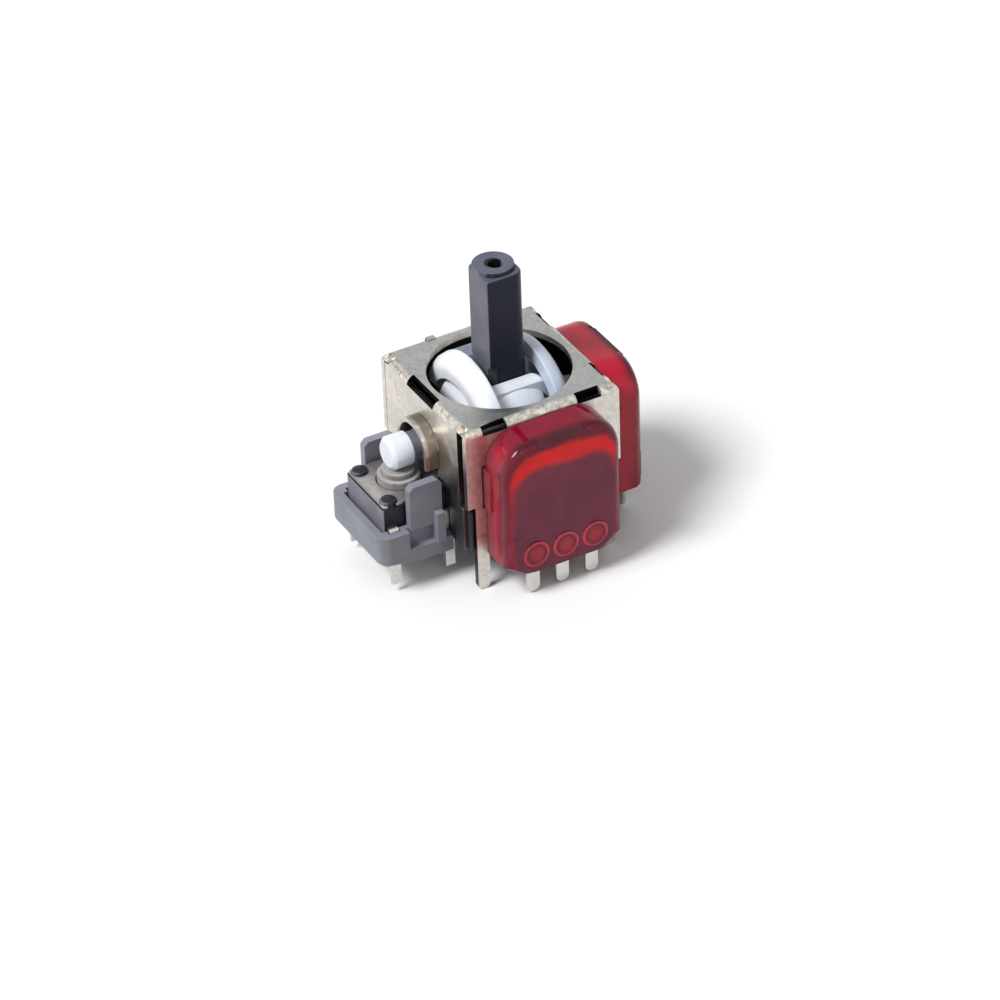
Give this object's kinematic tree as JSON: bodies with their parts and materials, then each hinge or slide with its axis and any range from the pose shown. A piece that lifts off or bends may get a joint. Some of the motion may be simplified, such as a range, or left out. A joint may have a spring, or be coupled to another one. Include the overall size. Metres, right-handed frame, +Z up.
{
  "type": "controller analog stick",
  "caption": "Two-axis analog stick module: folded metal frame, tilting square lever on two crossed arms, side sensor covers and a push switch.",
  "frame": {"origin": "middle of the base's flat underside, straight below the lever's pivot, where the module seats on its board", "axes": "+Z up along the resting lever, -Y towards the front sensor cover, +X towards the right sensor cover; the push switch is at -X"},
  "size_m": [0.0221, 0.0161, 0.0233],
  "materials": {
    "plated_steel": "satin plated sheet with bare fold edges",
    "black_plastic": "fine matte",
    "white_plastic": "smooth moulded",
    "lever_plastic": "smooth moulded, semi-matte",
    "bright_steel": "bright wire and pins",
    "red_plastic": "translucent, glossy",
    "rotor_plastic": "matte",
    "magnet": "ground ferrite",
    "board": "coated laminate",
    "tinned_metal": "tinned",
    "grey_plastic": "matte moulded",
    "switch_plastic": "matte moulded",
    "switch_plate": "satin stamped",
    "button_plastic": "matte moulded"
  },
  "bodies": {
    "module": {"frame": "plated_steel", "base": "black_plastic", "cover_front": "red_plastic", "sensor_board_front": "board", "terminal_front_1": "tinned_metal", "terminal_front_2": "tinned_metal", "terminal_front_3": "tinned_metal", "cover_right": "red_plastic", "sensor_board_right": "board", "terminal_right_1": "tinned_metal", "terminal_right_2": "tinned_metal", "terminal_right_3": "tinned_metal", "switch_bracket": "grey_plastic", "switch_case": "switch_plastic", "switch_plate": "switch_plate", "switch_dome": "bright_steel", "switch_terminal_1": "tinned_metal", "switch_terminal_2": "tinned_metal", "switch_terminal_3": "tinned_metal", "switch_terminal_4": "tinned_metal"},
    "right_rotor": {"rotor_right": "rotor_plastic", "magnet_right": "magnet"},
    "lower_arm": {"lower_arm": "white_plastic", "lever_pin": "bright_steel"},
    "lever": {"lever": "lever_plastic", "centring_spring": "bright_steel"},
    "plunger": {"centring_plunger": "white_plastic"},
    "upper_arm": {"upper_arm": "white_plastic", "rotor_front": "rotor_plastic", "magnet_front": "magnet"},
    "button": {"switch_plunger": "button_plastic"}
  },
  "joints": [
    {"name": "tilt_front_back", "type": "hinge", "parent": "module", "child": "right_rotor", "pos_m": [0, 0, 0.0077], "axis": [1, 0, 0], "range_deg": [-23, 23], "stiffness_Nm_per_rad": 0.023},
    {"name": "press", "type": "hinge", "parent": "right_rotor", "child": "lower_arm", "pos_m": [0.00625, 0, 0.0077], "axis": [0, -1, 0], "range_deg": [0, 1.92], "stiffness_Nm_per_rad": 0.77},
    {"name": "tilt_left_right", "type": "hinge", "parent": "lower_arm", "child": "lever", "pos_m": [0, 0, 0.0077], "axis": [0, 1, 0], "range_deg": [-23, 23], "stiffness_Nm_per_rad": 0.023},
    {"name": "centring_slide", "type": "slide", "parent": "lever", "child": "plunger", "axis": [0, 0, 1], "range_m": [0, 0.00022], "deforming": ["centring_spring"]},
    {"name": "upper_arm_turn", "type": "hinge", "parent": "module", "child": "upper_arm", "pos_m": [0, 0, 0.0077], "axis": [0, 1, 0], "range_deg": [-23.1, 23.1]},
    {"name": "button_slide", "type": "slide", "parent": "module", "child": "button", "axis": [0, 0, -1], "range_m": [0, 0.0005], "deforming": ["switch_dome"]}
  ],
  "couplings": [
    {"joint": "press", "follows": "button_slide", "rad_per_m": 66.4},
    {"joint": "centring_slide", "follows": "button_slide", "ratio": 0.415},
    {"joint": "upper_arm_turn", "follows": "tilt_left_right", "ratio": 1}
  ]
}
